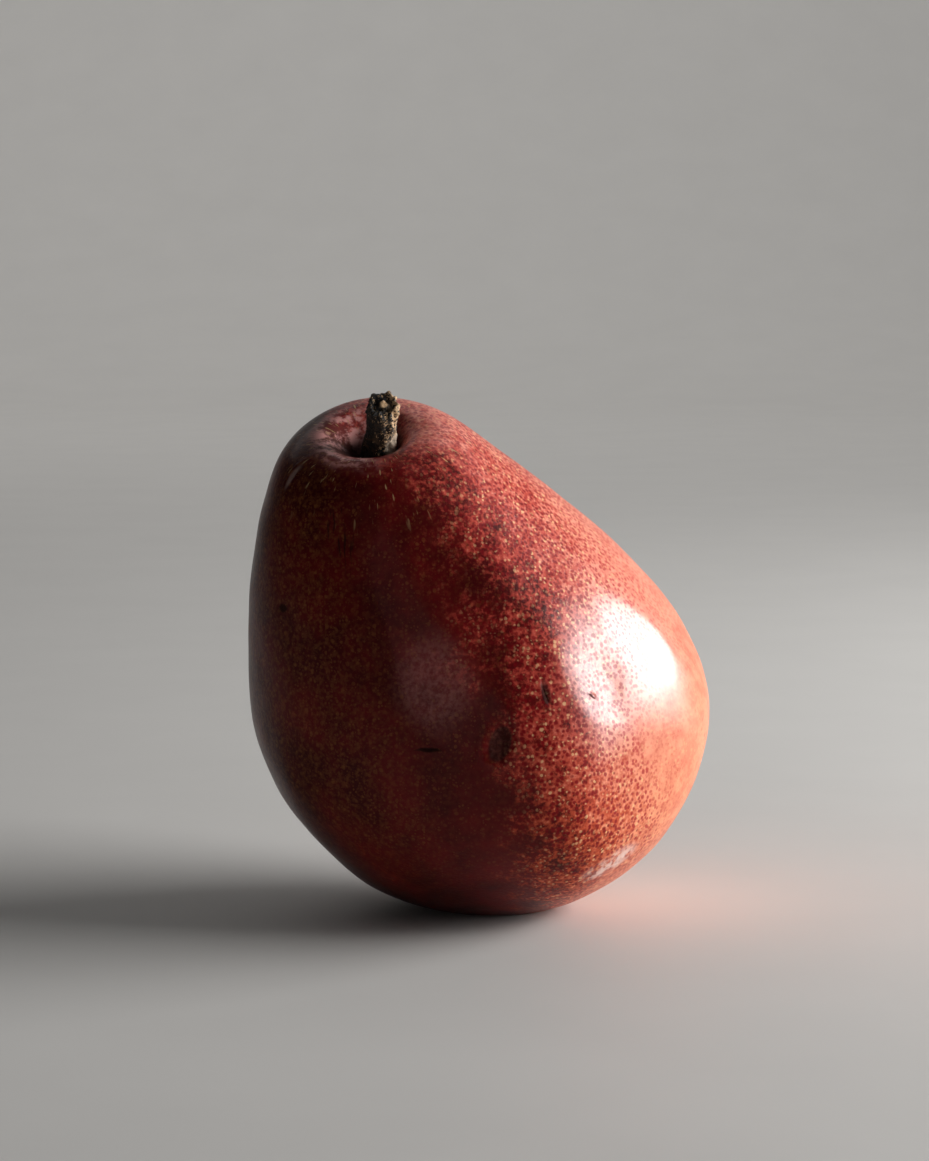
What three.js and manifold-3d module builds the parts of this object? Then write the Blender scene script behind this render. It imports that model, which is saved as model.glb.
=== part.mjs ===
// A red pear as it was set down: the fruit leans towards the front on a small flat spot,
// with its woody stem in the crown and its dried calyx low at the back.
// Units are millimetres. +Z is up, -Y is the front, and the origin is on the flat spot.
import * as THREE from 'three';
import { mergeVertices } from 'three/addons/utils/BufferGeometryUtils.js';
import Module from 'manifold-3d';

const wasm = await Module();
wasm.setup();

const degrees = THREE.MathUtils.degToRad;

// Fruit, about its own axis. Heights run from the middle of the belly towards the stem.
const BELLY_RADIUS = 38;
const BASE_DEPTH = 35.2;
const BASE_RING_RADIUS = 8.8;
const CALYX_BASIN_DEPTH = 4;
const SHOULDER_RADIUS = 21;
const SHOULDER_HEIGHT = 37;
const FLANK_SLOPE = 0.68;
const CROWN_RADIUS = 8.4;
const CROWN_HEIGHT = 47.7;
const STEM_BASIN_DEPTH = 5;

// How full the outline is between those places, as shares of the size beside it.
const BASE_FULLNESS = 0.41;
const LOWER_BELLY_FULLNESS = 0.46;
const UPPER_BELLY_FULLNESS = 0.24;
const FLANK_FULLNESS = 0.28;
const SHOULDER_FULLNESS = 0.63;
const CROWN_FULLNESS = 0.67;
const BASIN_ROUNDING = 0.42;

// What makes this fruit uneven: three blunt ribs, a slightly oval belly and a neck that is carried
// to one side.
const RIB_COUNT = 3;
const RIB_SHARE = 0.027;
const RIB_ANGLE = degrees(79);
const OVAL_SHARE = 0.014;
const NECK_START = -7;
const NECK_END = 57;
const NECK_OFFSET_X = -15.3;
const NECK_OFFSET_Y = 7;

// A sharper rib down the front, which turns to the left as it comes down the belly.
const FRONT_RIB_SHARE = 0.05;
const FRONT_RIB_HIGH_ANGLE = degrees(-54);
const FRONT_RIB_LOW_ANGLE = degrees(-72);
const FRONT_RIB_TURN_FROM = 28;
const FRONT_RIB_TURN_TO = 6;
const FRONT_RIB_WIDTH = degrees(14);
const FRONT_RIB_TOP = 46;
const FRONT_RIB_BOTTOM = -32;
const FRONT_RIB_FADE = 18;

// Two sides that are pressed flat, low on the left and on the right of the front rib: the way they
// face, and how far from the middle of the belly they are.
const PRESSED_SIDES = [
  { angle: degrees(209), dip: degrees(28), distance: 38.4 },
  { angle: degrees(-45), dip: degrees(-8), distance: 36.6 },
];
const PRESSED_ROUNDING = 1;

// How the fruit lies over the table. What reaches below the table is its flat spot.
const LEAN_FORWARD = degrees(28);
const LEAN_LEFT = degrees(5.5);
const BELLY_BEHIND_SPOT = 1.4;
const BELLY_OVER_TABLE = 36.4;

// Stem. Heights run from the floor of its basin.
const STEM_HEIGHT = 14;
const STEM_ROOT_LENGTH = 3;
const STEM_ROOT_RADIUS = 3.2;
const STEM_COLLAR_HEIGHT = 2;
const STEM_COLLAR_RADIUS = 2.8;
const STEM_WAIST_FROM = 6.5;
const STEM_WAIST_TO = 10.5;
const STEM_WAIST_RADIUS = 2.35;
const STEM_TIP_HEIGHT = 13;
const STEM_TIP_RADIUS = 2.5;
const STEM_END_RADIUS = 2;
const STEM_END_HOLLOW = 0.6;
const STEM_END_RING = [1.5, 1];
const STEM_NUB_RADIUS = 0.6;
const STEM_LEAN_FORWARD = degrees(6);
const STEM_LEAN_RIGHT = degrees(9);
const STEM_BEND = degrees(24);
const BARK_RIDGES = 5;
const BARK_RIDGE_SHARE = 0.05;
const BARK_TWIST = 0.18;

// Calyx, the dried flower at the base. Heights run from the floor of its basin, outwards.
const SEPAL_COUNT = 5;
const SEPAL_LENGTH = 5.4;
const SEPAL_ROOT_WIDTH = 2.6;
const SEPAL_BULGE_WIDTH = 4.9;
const SEPAL_THICKNESS = 0.7;
const SEPAL_LEAN = degrees(24);
const SEPAL_CURL = 0.05;
const SEPAL_SINK = 1.4;
const SEPAL_RING_RADIUS = 2.4;
const CUP_RADIUS = 2.7;
const CUP_MOUTH_RADIUS = 1.8;
const CUP_HEIGHT = 2;
const CUP_FLOOR_RADIUS = 1.2;
const CUP_FLOOR_HEIGHT = 0.8;
const CUP_ROOT_LENGTH = 1.5;

const FIT_GAP = 0.3;
const AROUND_FRUIT = 84;
const OUTLINE_STEPS = [6, 12, 11, 7, 7];
const AROUND_STEM = 30;
const ALONG_STEM = 14;
const AROUND_CUP = 20;
const ALONG_SEPAL = 7;

const skin = new THREE.MeshStandardMaterial({ color: 0x7d1a1c, roughness: 0.35, metalness: 0 });
const bark = new THREE.MeshStandardMaterial({ color: 0x4a3826, roughness: 0.85, metalness: 0 });
const driedSepal = new THREE.MeshStandardMaterial({ color: 0x36281c, roughness: 0.9, metalness: 0 });

// A closed geometry as a solid that can be cut and joined.
function toSolid(geometry) {
  const bare = geometry.clone();
  bare.deleteAttribute('normal');
  bare.deleteAttribute('uv');
  const merged = mergeVertices(bare, 1e-4);
  return new wasm.Manifold(new wasm.Mesh({
    numProp: 3,
    vertProperties: new Float32Array(merged.attributes.position.array),
    triVerts: new Uint32Array(merged.index.array),
  }));
}

function toMesh(solid, name, material) {
  const cut = solid.getMesh();
  const geometry = new THREE.BufferGeometry();
  geometry.setAttribute('position', new THREE.BufferAttribute(cut.vertProperties, 3));
  geometry.setIndex(new THREE.BufferAttribute(cut.triVerts, 1));
  geometry.computeVertexNormals();
  const mesh = new THREE.Mesh(geometry, material);
  mesh.name = name;
  return mesh;
}

// Moves every point of a geometry by a function of its place.
function reshape(geometry, move) {
  const place = geometry.attributes.position;
  const point = new THREE.Vector3();
  for (let i = 0; i < place.count; i++) {
    move(point.fromBufferAttribute(place, i));
    place.setXYZ(i, point.x, point.y, point.z);
  }
  return geometry;
}

// A profile of radius and height, turned about +Z.
function turned(profile, segments) {
  return new THREE.LatheGeometry(profile, segments).rotateX(Math.PI / 2);
}

// The fruit's half outline, from the floor of the calyx basin to the floor of the stem basin.
function fruitOutline() {
  const calyxFloor = CALYX_BASIN_DEPTH - BASE_DEPTH;
  const stemFloor = CROWN_HEIGHT - STEM_BASIN_DEPTH;
  const flankRise = FLANK_FULLNESS * SHOULDER_HEIGHT;
  const crownRise = SHOULDER_FULLNESS * (CROWN_HEIGHT - SHOULDER_HEIGHT);
  const outline = new THREE.Path();
  outline.moveTo(0, calyxFloor);
  outline.bezierCurveTo(
    BASIN_ROUNDING * BASE_RING_RADIUS, calyxFloor,
    (1 - BASIN_ROUNDING) * BASE_RING_RADIUS, -BASE_DEPTH,
    BASE_RING_RADIUS, -BASE_DEPTH,
  );
  outline.bezierCurveTo(
    BASE_RING_RADIUS + BASE_FULLNESS * BELLY_RADIUS, -BASE_DEPTH,
    BELLY_RADIUS, -LOWER_BELLY_FULLNESS * BASE_DEPTH,
    BELLY_RADIUS, 0,
  );
  outline.bezierCurveTo(
    BELLY_RADIUS, UPPER_BELLY_FULLNESS * SHOULDER_HEIGHT,
    SHOULDER_RADIUS + flankRise * FLANK_SLOPE, SHOULDER_HEIGHT - flankRise,
    SHOULDER_RADIUS, SHOULDER_HEIGHT,
  );
  outline.bezierCurveTo(
    SHOULDER_RADIUS - crownRise * FLANK_SLOPE, SHOULDER_HEIGHT + crownRise,
    (1 + CROWN_FULLNESS) * CROWN_RADIUS, CROWN_HEIGHT,
    CROWN_RADIUS, CROWN_HEIGHT,
  );
  outline.bezierCurveTo(
    (1 - BASIN_ROUNDING) * CROWN_RADIUS, CROWN_HEIGHT,
    BASIN_ROUNDING * CROWN_RADIUS, stemFloor,
    0, stemFloor,
  );
  const points = [new THREE.Vector2(0, calyxFloor)];
  outline.curves.forEach((curve, i) => points.push(...curve.getPoints(OUTLINE_STEPS[i]).slice(1)));
  return points;
}

// Where the fruit's own axis is at a height, once the neck is carried aside.
function axisAt(height) {
  const share = THREE.MathUtils.smoothstep(height, NECK_START, NECK_END);
  return new THREE.Vector3(NECK_OFFSET_X * share, NECK_OFFSET_Y * share, height);
}

// Height of the front rib at an angle and a height, from nought to one.
function frontRib(angle, height) {
  const { smoothstep, lerp, euclideanModulo } = THREE.MathUtils;
  const upper = smoothstep(height, FRONT_RIB_TURN_TO, FRONT_RIB_TURN_FROM);
  const crest = lerp(FRONT_RIB_LOW_ANGLE, FRONT_RIB_HIGH_ANGLE, upper);
  const aside = euclideanModulo(angle - crest + Math.PI, 2 * Math.PI) - Math.PI;
  const belowTop = 1 - smoothstep(height, FRONT_RIB_TOP - FRONT_RIB_FADE, FRONT_RIB_TOP);
  const aboveBottom = smoothstep(height, FRONT_RIB_BOTTOM, FRONT_RIB_BOTTOM + FRONT_RIB_FADE);
  return Math.exp(-((aside / FRONT_RIB_WIDTH) ** 2)) * belowTop * aboveBottom;
}

function makeUneven(point) {
  const angle = Math.atan2(point.y, point.x);
  const ribs = RIB_SHARE * Math.cos(RIB_COUNT * (angle - RIB_ANGLE));
  const oval = OVAL_SHARE * Math.cos(2 * angle);
  const wide = 1 + ribs - oval + FRONT_RIB_SHARE * frontRib(angle, point.z);
  const axis = axisAt(point.z);
  point.x = point.x * wide + axis.x;
  point.y = point.y * wide + axis.y;
}

// Moves back what reaches beyond a pressed side, with a rounded edge around the flat.
function pressSides(point) {
  for (const { angle, dip, distance } of PRESSED_SIDES) {
    const outwards = new THREE.Vector3(
      Math.cos(angle) * Math.cos(dip),
      Math.sin(angle) * Math.cos(dip),
      -Math.sin(dip),
    );
    const beyond = (point.dot(outwards) - distance) / PRESSED_ROUNDING;
    point.addScaledVector(outwards, -PRESSED_ROUNDING * Math.log1p(Math.exp(beyond)));
  }
}

// A round hole along +Z with its floor at -depth, a little wider and deeper than what it takes.
function socket(radius, depth) {
  const length = 2 * depth;
  return new THREE.CylinderGeometry(radius + FIT_GAP, radius + FIT_GAP, length, AROUND_STEM)
    .rotateX(Math.PI / 2)
    .translate(0, 0, length / 2 - depth - FIT_GAP);
}

function makeFruit(place, stemSeat, calyxSeat) {
  const form = turned(fruitOutline(), AROUND_FRUIT);
  reshape(form, makeUneven);
  reshape(form, pressSides);
  const table = new THREE.BoxGeometry(4 * BELLY_RADIUS, 4 * BELLY_RADIUS, BELLY_RADIUS)
    .translate(0, 0, -BELLY_RADIUS / 2)
    .applyMatrix4(place.matrix.clone().invert());
  const stemSocket = socket(STEM_ROOT_RADIUS, STEM_ROOT_LENGTH).applyMatrix4(stemSeat.matrix);
  const calyxSocket = socket(CUP_RADIUS, CUP_ROOT_LENGTH).applyMatrix4(calyxSeat.matrix);
  const solid = toSolid(form)
    .subtract(toSolid(table))
    .subtract(toSolid(stemSocket))
    .subtract(toSolid(calyxSocket));
  return toMesh(solid, 'pear_body', skin);
}

// The stem's half outline: a stout root, a waist, and a broken tip with a hollow ring in its end.
function stemOutline() {
  const side = new THREE.SplineCurve([
    new THREE.Vector2(STEM_ROOT_RADIUS, 0),
    new THREE.Vector2(STEM_COLLAR_RADIUS, STEM_COLLAR_HEIGHT),
    new THREE.Vector2(STEM_WAIST_RADIUS, STEM_WAIST_FROM),
    new THREE.Vector2(STEM_WAIST_RADIUS, STEM_WAIST_TO),
    new THREE.Vector2(STEM_TIP_RADIUS, STEM_TIP_HEIGHT),
    new THREE.Vector2(STEM_END_RADIUS, STEM_HEIGHT),
  ]);
  return [
    new THREE.Vector2(0, -STEM_ROOT_LENGTH),
    new THREE.Vector2(STEM_ROOT_RADIUS, -STEM_ROOT_LENGTH),
    ...side.getPoints(ALONG_STEM),
    ...STEM_END_RING.map((radius) => new THREE.Vector2(radius, STEM_HEIGHT - STEM_END_HOLLOW)),
    new THREE.Vector2(STEM_NUB_RADIUS, STEM_HEIGHT),
    new THREE.Vector2(0, STEM_HEIGHT),
  ];
}

// Twisting ridges along the stem, and its bend towards the front above the root.
function shapeStem(point) {
  const bare = Math.max(point.z, 0);
  const angle = Math.atan2(point.y, point.x);
  const risen = Math.min(bare / STEM_ROOT_LENGTH, 1);
  const ridge = 1 + risen * BARK_RIDGE_SHARE * Math.cos(BARK_RIDGES * (angle - BARK_TWIST * bare));
  point.x *= ridge;
  point.y *= ridge;
  if (point.z > 0) {
    const arcRadius = STEM_HEIGHT / STEM_BEND;
    const turn = point.z / arcRadius;
    const across = point.y;
    point.y = across * Math.cos(turn) - arcRadius * (1 - Math.cos(turn));
    point.z = across * Math.sin(turn) + arcRadius * Math.sin(turn);
  }
}

function makeStem() {
  const form = reshape(turned(stemOutline(), AROUND_STEM), shapeStem);
  return toMesh(toSolid(form), 'stem', bark);
}

// One pointed sepal along +Z, cupped across and curling outwards to +Y at its tip.
function sepal() {
  const leaf = new THREE.Shape();
  leaf.moveTo(-SEPAL_ROOT_WIDTH / 2, 0);
  leaf.quadraticCurveTo(-SEPAL_BULGE_WIDTH / 2, SEPAL_LENGTH / 2, 0, SEPAL_LENGTH);
  leaf.quadraticCurveTo(SEPAL_BULGE_WIDTH / 2, SEPAL_LENGTH / 2, SEPAL_ROOT_WIDTH / 2, 0);
  leaf.closePath();
  const blade = new THREE.ExtrudeGeometry(leaf, {
    depth: SEPAL_THICKNESS,
    bevelEnabled: false,
    curveSegments: ALONG_SEPAL,
  });
  blade.rotateX(Math.PI / 2);
  return reshape(blade, (point) => {
    point.y += SEPAL_CURL * (point.z * point.z - point.x * point.x);
  });
}

function cup() {
  return turned([
    new THREE.Vector2(0, -CUP_ROOT_LENGTH),
    new THREE.Vector2(CUP_RADIUS, -CUP_ROOT_LENGTH),
    new THREE.Vector2(CUP_RADIUS, CUP_FLOOR_HEIGHT),
    new THREE.Vector2(SEPAL_RING_RADIUS, CUP_HEIGHT),
    new THREE.Vector2(CUP_MOUTH_RADIUS, CUP_HEIGHT),
    new THREE.Vector2(CUP_FLOOR_RADIUS, CUP_FLOOR_HEIGHT),
    new THREE.Vector2(0, CUP_FLOOR_HEIGHT),
  ], AROUND_CUP);
}

function makeCalyx() {
  let solid = toSolid(cup());
  for (let i = 0; i < SEPAL_COUNT; i++) {
    const blade = sepal()
      .rotateX(-SEPAL_LEAN)
      .translate(0, SEPAL_RING_RADIUS, CUP_HEIGHT - SEPAL_SINK)
      .rotateZ((2 * Math.PI * i) / SEPAL_COUNT);
    solid = solid.add(toSolid(blade));
  }
  return toMesh(solid, 'calyx', driedSepal);
}

function makePear() {
  const place = new THREE.Group();
  place.position.set(0, BELLY_BEHIND_SPOT, BELLY_OVER_TABLE);
  place.rotation.set(LEAN_FORWARD, -LEAN_LEFT, 0);
  place.updateMatrix();

  const stemSeat = new THREE.Group();
  stemSeat.position.copy(axisAt(CROWN_HEIGHT - STEM_BASIN_DEPTH));
  stemSeat.rotation.set(STEM_LEAN_FORWARD, STEM_LEAN_RIGHT, 0);
  stemSeat.updateMatrix();

  const calyxSeat = new THREE.Group();
  calyxSeat.position.set(0, 0, CALYX_BASIN_DEPTH - BASE_DEPTH);
  calyxSeat.rotation.set(Math.PI, 0, 0);
  calyxSeat.updateMatrix();

  stemSeat.add(makeStem());
  calyxSeat.add(makeCalyx());
  place.add(makeFruit(place, stemSeat, calyxSeat), stemSeat, calyxSeat);
  return new THREE.Group().add(place);
}

export default makePear();
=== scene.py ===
"""A red pear on a pale studio floor: the fruit's skin with its dots, dents and scars, a woody stem
in its crown and a dried calyx at its base. Lengths are metres, +Z is up and -Y is the front."""
import math
from collections import namedtuple

import bmesh
import bpy
from bpy.props import FloatProperty, FloatVectorProperty, IntProperty, PointerProperty
from mathutils import Euler, Matrix, Vector, geometry, noise
from mathutils.bvhtree import BVHTree


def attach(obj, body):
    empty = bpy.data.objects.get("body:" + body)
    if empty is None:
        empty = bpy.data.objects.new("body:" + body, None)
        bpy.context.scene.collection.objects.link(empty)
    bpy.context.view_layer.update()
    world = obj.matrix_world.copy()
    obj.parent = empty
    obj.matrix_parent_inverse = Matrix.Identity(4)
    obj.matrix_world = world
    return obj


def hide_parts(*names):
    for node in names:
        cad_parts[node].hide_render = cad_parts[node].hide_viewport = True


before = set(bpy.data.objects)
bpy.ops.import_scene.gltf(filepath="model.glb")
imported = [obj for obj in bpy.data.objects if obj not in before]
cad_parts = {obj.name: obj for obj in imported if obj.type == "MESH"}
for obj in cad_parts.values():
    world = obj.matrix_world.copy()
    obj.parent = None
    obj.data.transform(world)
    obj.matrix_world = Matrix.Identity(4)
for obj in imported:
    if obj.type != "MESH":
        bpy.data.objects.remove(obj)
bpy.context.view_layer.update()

bl_info = {
    "name": "Red pear",
    "version": (1, 0, 0),
    "blender": (4, 5, 0),
    "location": "View3D > Sidebar > Pear",
    "description": "Builds a red pear with its stem and calyx on a studio floor",
    "category": "Add Mesh",
}

MM = 0.001

# How full the fruit's outline is between its named places, as shares of the size beside it.
BASE_FULLNESS = 0.41
LOWER_BELLY_FULLNESS = 0.46
UPPER_BELLY_FULLNESS = 0.24
FLANK_FULLNESS = 0.28
SHOULDER_FULLNESS = 0.63
CROWN_FULLNESS = 0.67
BASIN_ROUNDING = 0.42

# How finely the turned pieces are divided, and how near two points are before they become one.
OUTLINE_STEPS = (20, 66, 62, 30, 36)
AROUND_FRUIT = 300
AROUND_STEM = 96
AROUND_CUP = 40
STEM_STEP = 0.2 * MM
MERGE_DISTANCE = 0.001 * MM

# Where the neck starts and ends, and the ribs and pressed sides, in the fruit's own frame.
NECK_START = -7 * MM
NECK_END = 57 * MM
RIB_COUNT = 3
RIB_ANGLE = math.radians(79)
FRONT_RIB_HIGH_ANGLE = math.radians(-54)
FRONT_RIB_LOW_ANGLE = math.radians(-72)
FRONT_RIB_TURN_FROM = 28 * MM
FRONT_RIB_TURN_TO = 6 * MM
FRONT_RIB_WIDTH = math.radians(14)
FRONT_RIB_TOP = 46 * MM
FRONT_RIB_BOTTOM = -32 * MM
FRONT_RIB_FADE = 18 * MM
PressedSide = namedtuple("PressedSide", "angle dip distance")
PRESSED_SIDES = (
    PressedSide(math.radians(209), math.radians(28), 38.4 * MM),
    PressedSide(math.radians(-45), math.radians(-8), 36.6 * MM),
)
PRESSED_ROUNDING = 1.0 * MM

# The smaller of the soft lumps, as shares of the larger ones.
SMALL_LUMP_HEIGHT = 0.35
SMALL_LUMP_SPACING = 0.4

# The photograph's frame in pixels, and the place in it of the middle of the belly.
FRAME_WIDTH = 929
FRAME_HEIGHT = 1161
BELLY_PIXEL = (485.5, 689.7)
SENSOR_HEIGHT = 36.0

# Flat places pressed into the skin: the pixel in the photograph, how deep they are, and how flat.
FLAT_SHARE = 0.75
Flat = namedtuple("Flat", "pixel depth")
FLATS = (
    Flat((440, 688), 0.42 * MM),
    Flat((362, 520), 0.16 * MM),
    Flat((645, 648), 0.34 * MM),
    Flat((600, 690), 0.36 * MM),
    Flat((400, 600), 0.14 * MM),
    Flat((560, 800), 0.16 * MM),
)

# Marks in the skin: the pixel, the width and height as seen, the turn to the left, the depth, the lip,
# and how much deeper the mark gets to its right. Marks without depth are only colour or gloss.
Mark = namedtuple("Mark", "pixel width height turn depth lip slope")
MARKS = {
    "hollow": Mark((545, 694), 9.0 * MM, 12.0 * MM, 0.0, 0.25 * MM, 0.0, 0.0),
    "lobe": Mark((598, 684), 8.0 * MM, 13.0 * MM, math.radians(10), 0.2 * MM, 0.0, 0.12),
    # The facet is a painted sheen: a pale haze on the flat place that faces the lights, with a little
    # gloss.
    "facet": Mark((434, 684), 11.0 * MM, 13.0 * MM, 0.0, 0.0, 0.0, 0.0),
    "bruise": Mark((338, 535), 4.0 * MM, 10.0 * MM, math.radians(4), 0.15 * MM, 0.0, 0.0),
    "slit": Mark((546, 692), 0.7 * MM, 3.4 * MM, math.radians(15), 0.45 * MM, 0.04 * MM, 0.0),
    "scab": Mark((500, 744), 3.4 * MM, 5.8 * MM, math.radians(-16), 0.45 * MM, 0.14 * MM, 0.0),
    "nick": Mark((429, 749), 3.0 * MM, 0.6 * MM, 0.0, 0.3 * MM, 0.06 * MM, 0.0),
    "cut": Mark((593, 695), 1.2 * MM, 0.5 * MM, math.radians(-30), 0.2 * MM, 0.03 * MM, 0.0),
    "spot": Mark((283, 607), 1.5 * MM, 1.2 * MM, 0.0, 0.08 * MM, 0.0, 0.0),
    "crease": Mark((292, 476), 1.0 * MM, 4.2 * MM, math.radians(-27), 0.1 * MM, 0.04 * MM, 0.0),
    # Pale streaks along the lower right edge: partly waxy bloom, partly a painted sheen.
    "wax_and_sheen": Mark((611, 864), 9.5 * MM, 5.0 * MM, math.radians(37), 0.0, 0.0, 0.0),
    "shine": Mark((632, 655), 25.0 * MM, 19.0 * MM, 0.0, 0.0, 0.0, 0.0),
    "glint": Mark((593, 694), 15.0 * MM, 18.0 * MM, math.radians(10), 0.0, 0.0, 0.0),
}

# How far from a mark the skin is split finely, and the shape of its edge as shares of its size.
FINE_MARGIN = 1.2 * MM
FINE_CUTS = 2
EDGE_WAVER = 0.25
EDGE_WAVER_SPACING = 0.8 * MM
EDGE_STEEPNESS = 2.5
LIP_PLACE = 1.7
LIP_WIDTH = 0.5

# How far below and above the skin the mask of a mark reaches, and the gloss of the rubbed places.
MARK_REACH = 2 * MM
RUBBED_REACH = 6 * MM
RUBBED_GLOSS = {"shine": 0.9, "glint": 0.9, "facet": 0.06}
SKIN_GLOSS = 0.05

# Patterns of the skin: how far apart they are, and the sizes and places of dots, dashes and bloom.
PATCH_SPACING = 11 * MM
BLOTCH_SPACING = 3.4 * MM
MOTTLE_SPACING = 2.6 * MM
GRAIN_SPACING = 0.8 * MM
PORE_SPACING = 0.6 * MM
WOBBLE_SPACING = 1.1 * MM
WOBBLE_REACH = 0.4 * MM
BRUISE_LINE_SPACING = (0.7 * MM, 5 * MM, 5 * MM)
FINE_FLECKS = 0.55
SPECK_SHARPNESS = 7.0
DOT_SHARPNESS = 4.5
DOT_RADIUS = 0.40
DASHES_PER_RADIAN = 26.0
DASH_LENGTH = 2.4 * MM
BLOOM_ANGLE = math.radians(-80)
LEFT_EDGE_ANGLE = math.radians(205)

# The stem: heights along it as shares of the whole, the ring and nub of its broken end as shares of that
# end's radius, its bark, its ragged end, its twisted ridges and the swelling at its foot.
COLLAR_HEIGHT = 0.14
WAIST_LOW = 0.46
WAIST_HIGH = 0.75
TIP_HEIGHT = 0.93
BREAK_HEIGHT = 0.985
BREAK_SHARE = 0.95
RING_OUTSIDE = 0.75
RING_INSIDE = 0.5
NUB_SHARE = 0.3
BARK_SPACING = 0.9 * MM
FINE_BARK_SPACING = 0.4 * MM
FINE_BARK_SHARE = 0.6
BARK_RISE = 3 * MM
RAGGED_FROM = 0.82
RAGGED_TO = 0.95
RAGGED_SHARE = 0.9
Ridge = namedtuple("Ridge", "count share twist")
RIDGES = (Ridge(5, 0.05, -900.0), Ridge(11, 0.025, 400.0))
FOOT_SWELLING = (2.4 * MM, -1.6 * MM, 3.8 * MM)

# The calyx: the outline of its cup, and where its sepals and stamens stand, as shares of the cup's radius
# and height, and the forms of a sepal and a stamen.
CUP_OUTLINE = (
    (0, -0.6), (1, -0.6), (1, 0.4), (0.92, 0.85), (0.86, 1),
    (0.76, 0.95), (0.62, 0.55), (0.4, 0.38), (0, 0.35),
)
SEPAL_OUT = 0.88
SEPAL_UP = 0.3
SEPAL_GRID = (8, 16)
SEPAL_ROOT_SHARE = 0.72
SEPAL_SWELL = 0.75
SEPAL_POINT = 2.2
SEPAL_EDGE = 0.05 * MM
SEPAL_CURL = 0.05 / MM
SEPAL_CUP = 0.22
SEPAL_CRUMPLE = 0.12 * MM
STAMEN_OUT = 0.75
STAMEN_UP = 0.3
STAMEN_HEIGHT = 0.9
STAMEN_UNEVEN = 0.35
STAMEN_SIDES = 6
STAMEN_ANGLE = math.radians(137.5)
STAMEN_RADIUS = 0.16 * MM
STAMEN_TIP_RADIUS = 0.1 * MM
STAMEN_LEAN = 0.35

# The floor and its backdrop, and the studio lights: each light's size, its distance from what it lights,
# its azimuth from +X towards +Y and its elevation.
FLOOR_NEAR = -3.0
FLOOR_BEND = 1.6
FLOOR_HALF_WIDTH = 3.5
FLOOR_GRAIN = 40 * MM
FLOOR_SHADE = 0.93
SWEEP_RADIUS = 0.8
SWEEP_STEPS = 16
BACKDROP_TOP = 2.4
BACKDROP_SPOT = (0, 1.9, 0.25)
StudioLight = namedtuple("StudioLight", "size distance azimuth elevation")
FRUIT_LIGHTS = {
    "key": StudioLight((0.72, 0.22), 0.75, math.radians(5), math.radians(25)),
    "low": StudioLight((0.70, 0.36), 0.90, math.radians(2), math.radians(5)),
    "front": StudioLight((0.36, 0.36), 1.20, math.radians(-99), math.radians(4)),
}
WALL_LIGHT = StudioLight((2.8, 0.6), 1.3, math.radians(-90), math.radians(58))
CAMERA_NEAR = 10 * MM


# Settings that a user may change

def length(label, words, default):
    return FloatProperty(name=label, description=words, default=default, subtype="DISTANCE", unit="LENGTH")


def share(label, words, default):
    return FloatProperty(name=label, description=words, default=default, soft_min=0.0, soft_max=1.0)


def angle(label, words, degrees):
    return FloatProperty(
        name=label, description=words, default=math.radians(degrees), subtype="ANGLE", unit="ROTATION",
    )


def colour(label, words, default):
    return FloatVectorProperty(
        name=label, description=words, default=default, size=3, subtype="COLOR", min=0, max=1,
    )


def count(label, words, default):
    return IntProperty(name=label, description=words, default=default, min=0)


def power(label, words, default):
    return FloatProperty(name=label, description=words, default=default, min=0, unit="POWER")


class PearFruit(bpy.types.PropertyGroup):
    """Sizes of the fruit about its own axis, and how it lies."""
    belly_radius: length("Belly radius", "Half the width of the fruit", 38 * MM)
    base_depth: length("Base depth", "From the middle of the belly down to the base", 35.2 * MM)
    base_ring_radius: length("Base ring", "Radius of the ring around the calyx basin", 8.8 * MM)
    calyx_basin_depth: length("Calyx basin", "Depth of the hollow around the calyx", 4 * MM)
    shoulder_radius: length("Shoulder radius", "Half the width of the shoulder", 21 * MM)
    shoulder_height: length("Shoulder height", "From the middle of the belly up to the shoulder", 37 * MM)
    flank_slope: share("Flank slope", "How fast the flank narrows towards the shoulder", 0.68)
    crown_radius: length("Crown radius", "Radius of the ring around the stem basin", 8.4 * MM)
    crown_height: length("Crown height", "From the middle of the belly up to the crown", 47.7 * MM)
    stem_basin_depth: length("Stem basin", "Depth of the hollow around the stem", 5 * MM)
    rib_share: share("Ribs", "How far the blunt ribs stand out, as a share of the radius", 0.027)
    front_rib_share: share("Front rib", "How far the front rib stands out, as a share of the radius", 0.05)
    oval_share: share("Oval", "How much narrower the fruit is from side to side", 0.014)
    neck_offset_x: length("Neck aside", "How far the neck is carried to the right", -15.3 * MM)
    neck_offset_y: length("Neck back", "How far the neck is carried to the back", 7 * MM)
    lean_forward: angle("Lean forward", "How far the fruit leans to the front", 28)
    lean_left: angle("Lean left", "How far the fruit leans to the left", 5.5)
    belly_behind_spot: length("Belly behind spot", "How far the belly is behind the resting spot", 1.4 * MM)
    belly_over_table: length("Belly over table", "Height of the middle of the belly", 36.4 * MM)
    lump_height: length("Lumps", "Height of the soft lumps all over the fruit", 0.22 * MM)
    lump_spacing: length("Lump spacing", "How far apart the soft lumps are", 13 * MM)


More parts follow.
